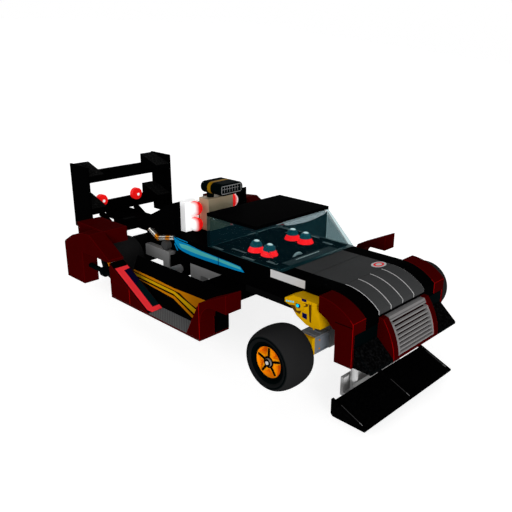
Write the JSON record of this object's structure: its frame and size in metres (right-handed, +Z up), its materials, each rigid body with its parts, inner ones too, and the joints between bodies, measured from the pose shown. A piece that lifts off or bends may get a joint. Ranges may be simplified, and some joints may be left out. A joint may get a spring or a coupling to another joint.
{
  "type": "brick-built toy open wheel racing car",
  "caption": "Brick-built toy racing car with free-turning balloon wheels, side pods, a clear canopy over its cockpit and tall front and rear wings.",
  "frame": {"origin": "centre of the footprint of the whole toy, on the floor", "axes": "+X to the nose, +Y to the car's left, +Z up; the body stands nose-up by about six degrees"},
  "size_m": [0.214, 0.112, 0.063],
  "materials": {
    "black_plastic": "moulded gloss, light grain on slopes",
    "dark_red_plastic": "moulded gloss",
    "dark_grey_plastic": "moulded gloss",
    "light_grey_plastic": "moulded gloss",
    "tan_plastic": "moulded gloss",
    "gold_plastic": "pearl gloss",
    "yellow_plastic": "moulded gloss",
    "clear_red": "translucent gloss",
    "white_plastic": "moulded gloss",
    "chrome_plastic": "plated",
    "blue_grey_plastic": "moulded gloss",
    "smoked_clear": "clear gloss",
    "clear_blue": "clear gloss",
    "tyre_rubber": "smooth matt slick"
  },
  "bodies": {
    "car": {"axle_carrier_front": "light_grey_plastic", "axle_carrier_rear": "light_grey_plastic", "axle_front": "dark_grey_plastic", "axle_rear": "dark_grey_plastic", "body_sills": "dark_grey_plastic", "body_tub": "black_plastic", "bumper_brows": "black_plastic", "bumper_chins": "black_plastic", "canopy_glass": "smoked_clear", "cockpit_domes": "clear_blue", "cockpit_rings": "clear_red", "dash_panel": "black_plastic", "engine_cylinders": "dark_grey_plastic", "engine_panels": "black_plastic", "engine_scoop": "black_plastic", "exhaust_pipes": "chrome_plastic", "fender_rods": "black_plastic", "front_fender_left": "dark_red_plastic", "front_fender_right": "dark_red_plastic", "front_wing": "black_plastic", "grille_surround": "dark_red_plastic", "hood_deck": "dark_grey_plastic", "hood_edges": "black_plastic", "hood_slopes": "dark_grey_plastic", "hub_blocks": "blue_grey_plastic", "mudguards": "black_plastic", "nose_grille": "light_grey_plastic", "pod_horns": "dark_red_plastic", "pod_left_cover": "black_plastic", "pod_left_shell": "dark_red_plastic", "pod_left_struts": "light_grey_plastic", "pod_right_cover": "black_plastic", "pod_right_shell": "dark_red_plastic", "pod_right_struts": "light_grey_plastic", "rear_fender_left": "dark_red_plastic", "rear_fender_right": "dark_red_plastic", "rear_tower": "tan_plastic", "roof_panel": "black_plastic", "scoop_band": "gold_plastic", "steering_wheel": "light_grey_plastic", "suspension_arms": "yellow_plastic", "tail_beam": "black_plastic", "tail_lamps": "clear_red", "tail_struts": "dark_grey_plastic", "tail_wing": "black_plastic", "tower_lamps": "clear_red", "tower_light": "white_plastic", "wing_carriers": "light_grey_plastic"},
    "wheel_front_right": {"rim_front_right": "gold_plastic", "spider_front_right": "black_plastic", "tyre_front_right": "tyre_rubber"},
    "wheel_front_left": {"rim_front_left": "gold_plastic", "spider_front_left": "black_plastic", "tyre_front_left": "tyre_rubber"},
    "wheel_rear_right": {"rim_rear_right": "gold_plastic", "spider_rear_right": "black_plastic", "tyre_rear_right": "tyre_rubber"},
    "wheel_rear_left": {"rim_rear_left": "gold_plastic", "spider_rear_left": "black_plastic", "tyre_rear_left": "tyre_rubber"}
  },
  "joints": [
    {"name": "front_right_wheel_spin", "type": "hinge", "parent": "car", "child": "wheel_front_right", "pos_m": [0.07599, -0.048, 0.02749], "axis": [0, 1, 0], "continuous": true},
    {"name": "front_left_wheel_spin", "type": "hinge", "parent": "car", "child": "wheel_front_left", "pos_m": [0.07599, 0.048, 0.02749], "axis": [0, 1, 0], "continuous": true},
    {"name": "rear_right_wheel_spin", "type": "hinge", "parent": "car", "child": "wheel_rear_right", "pos_m": [-0.05479, -0.0284, 0.0121], "axis": [0, 1, 0], "continuous": true},
    {"name": "rear_left_wheel_spin", "type": "hinge", "parent": "car", "child": "wheel_rear_left", "pos_m": [-0.05479, 0.0284, 0.0121], "axis": [0, 1, 0], "continuous": true}
  ]
}
